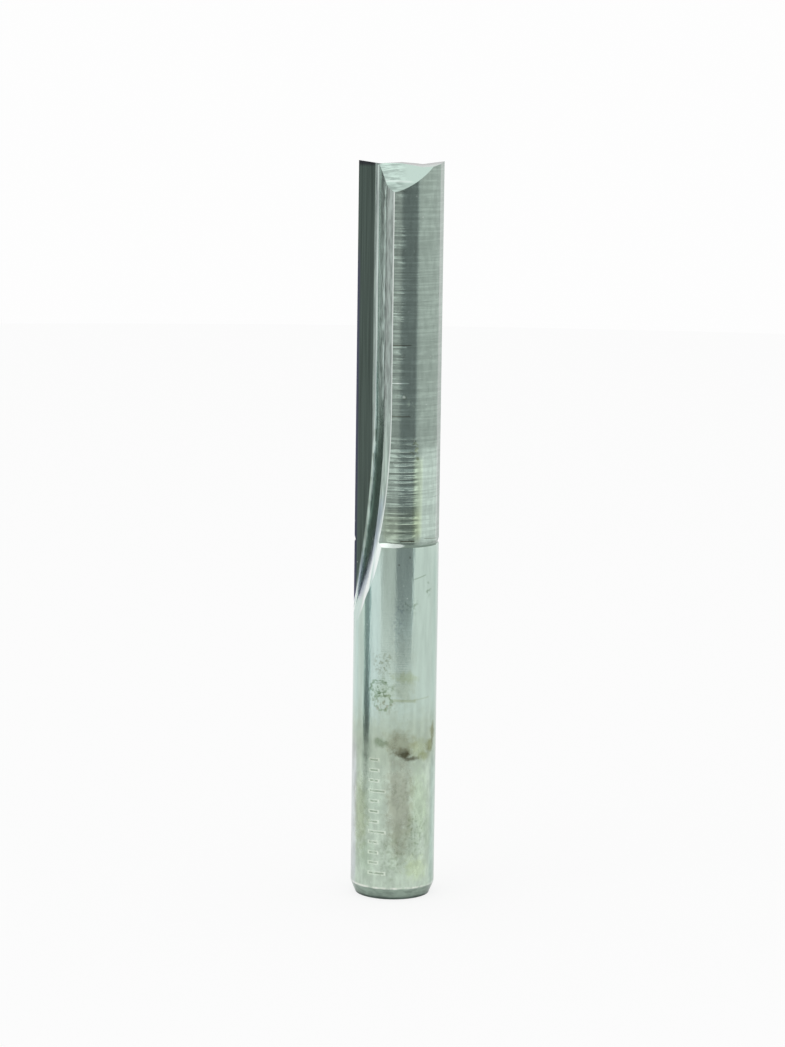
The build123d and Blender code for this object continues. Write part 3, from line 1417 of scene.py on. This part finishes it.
@dataclass
class Studio:
    """Floor, cards, softbox and world, in metres and watts.

    Attributes:
        white: How bright the background is, where 1 is white.
        floor_own_light: The share of its own light in what the camera sees of the floor.
        room_light: How bright the world is where it only lights things.
    """

    white: float = 0.986
    floor_radius: float = 0.60
    floor_sides: int = 96
    floor_own_light: float = 0.80
    floor_paper: Tone = (0.93, 0.93, 0.93)
    room_light: float = 0.95
    softbox_place: tuple[float, float, float] = (-0.45, -0.35, 0.55)
    softbox_side: float = 0.50
    softbox_power: float = 0.45
    cards: tuple[Card, ...] = (
        Card(
            "card_front_grey", -38.0, 1.0, 0.120, 0.150, 0.90, 0.64, 0.46, 0.008,
            right_glow=0.64,
        ),
        Card(
            "card_front_dark", -3.0, 49.0, 0.116, 0.150, 0.75, 0.32, 0.22, 0.008,
            left_glow=0.64, tint=(0.94, 1.0, 1.04),
        ),
        Card(
            "card_side_slim", -91.0, -68.0, 0.062, 0.045, 0.13, 0.42, 0.50, 0.020,
            tint=(0.85, 1.0, 1.0),
        ),
        Card("card_back_dark", 166.0, 188.0, 0.120, 0.075, 0.75, 0.30, 0.20, 0.008),
        Card("card_back_grey", -172.0, -150.0, 0.120, 0.075, 0.90, 0.72, 0.60, 0.008),
    )

    def build(self) -> None:
        """Set everything round the bit."""
        self.floor()
        for card in self.cards:
            card.build()
        self.world()
        self.softbox()

    def floor(self) -> bpy.types.Object:
        """Lay a round white sheet that keeps the bit's shadow.

        Returns:
            The floor.
        """
        bpy.ops.object.select_all(action="DESELECT")
        bpy.ops.mesh.primitive_circle_add(
            vertices=self.floor_sides, radius=self.floor_radius, fill_type="NGON"
        )
        floor = bpy.context.object
        floor.name = "floor"
        material = bpy.data.materials.new("white_sheet")
        material.use_nodes = True
        graph = Graph(material.node_tree)
        ray = graph.node("ShaderNodeLightPath", {}, {})
        seen = Num(graph, ray.outputs["Is Camera Ray"]) * self.floor_own_light
        paper = graph.node("ShaderNodeBsdfDiffuse", {}, {"Color": self.floor_paper})
        glow = graph.node("ShaderNodeEmission", {}, {"Strength": self.white})
        mixed = graph.node(
            "ShaderNodeMixShader", {}, {0: seen, 1: paper.outputs[0], 2: glow.outputs[0]}
        )
        graph.node("ShaderNodeOutputMaterial", {}, {"Surface": mixed.outputs[0]})
        floor.data.materials.append(material)
        return floor

    def world(self) -> None:
        """White to the eye and in gloss, and a plain soft light otherwise."""
        world = bpy.data.worlds.new("white_room")
        bpy.context.scene.world = world
        world.use_nodes = True
        graph = Graph(world.node_tree)
        ray = graph.node("ShaderNodeLightPath", {}, {})
        seen = Num(graph, ray.outputs["Is Camera Ray"])
        seen = seen.at_least(Num(graph, ray.outputs["Is Glossy Ray"]))
        seen = seen.at_least(Num(graph, ray.outputs["Is Transmission Ray"]))
        strength = self.room_light + seen * (self.white - self.room_light)
        light = {"Color": (1.0, 1.0, 1.0), "Strength": strength}
        back = graph.node("ShaderNodeBackground", {}, light)
        graph.node("ShaderNodeOutputWorld", {}, {"Surface": back.outputs[0]})

    def softbox(self) -> bpy.types.Object:
        """Hang a square softbox that looks at the bit.

        Returns:
            The lamp.
        """
        light = bpy.data.lights.new("key_softbox", "AREA")
        light.size = self.softbox_side
        light.energy = self.softbox_power
        lamp = bpy.data.objects.new("key_softbox", light)
        place = Vector(self.softbox_place)
        aim = place.to_track_quat("Z", "Y").to_matrix().to_4x4()
        lamp.matrix_world = Matrix.Translation(place) @ aim
        bpy.context.collection.objects.link(lamp)
        return lamp


@dataclass
class ViewCamera:
    """A long lens a little above the bit, looking slightly down.

    Attributes:
        focal_pixels: Focal length in pixels of the full frame.
        frame_height: The frame's height in the same pixels.
        sideways: The lens's place along X, in metres.
        distance: Its distance in front of the bit.
        height: Its height above the floor.
        swing: Degrees that it looks to the left of straight ahead.
        pitch: Degrees that it looks down.
        roll: Degrees that it is tipped.
        nearest: The nearest distance it sees, in metres.
        farthest: The farthest distance it sees.
    """

    focal_pixels: float = 3362.0
    frame_height: float = 1047.0
    sideways: float = 0.00168
    distance: float = 0.31534
    height: float = 0.08325
    swing: float = 0.381
    pitch: float = 8.568
    roll: float = 0.771
    nearest: float = 0.01
    farthest: float = 20.0

    def build(self) -> bpy.types.Object:
        """Make the camera and look through it.

        Returns:
            The camera.
        """
        lens = bpy.data.cameras.new("camera")
        lens.lens = self.focal_pixels / self.frame_height * lens.sensor_width
        lens.clip_start = self.nearest
        lens.clip_end = self.farthest
        camera = bpy.data.objects.new("camera", lens)
        spot = Matrix.Translation((self.sideways, -self.distance, self.height))
        swing = Matrix.Rotation(radians(self.swing), 4, "Z")
        pitch = Matrix.Rotation(radians(90.0 - self.pitch), 4, "X")
        roll = Matrix.Rotation(radians(self.roll), 4, "Z")
        camera.matrix_world = spot @ swing @ pitch @ roll
        bpy.context.collection.objects.link(camera)
        bpy.context.scene.camera = camera
        return camera


def main() -> None:
    """Build the bit, the studio and the camera."""
    logging.basicConfig(level=logging.INFO)
    bit = RouterBit().build()
    LOG.info("dressed %s", bit.name)
    Studio().build()
    LOG.info("set the studio")
    camera = ViewCamera().build()
    LOG.info("placed %s", camera.name)
    bpy.context.scene.view_settings.view_transform = "Standard"


if __name__ == "__main__":
    main()
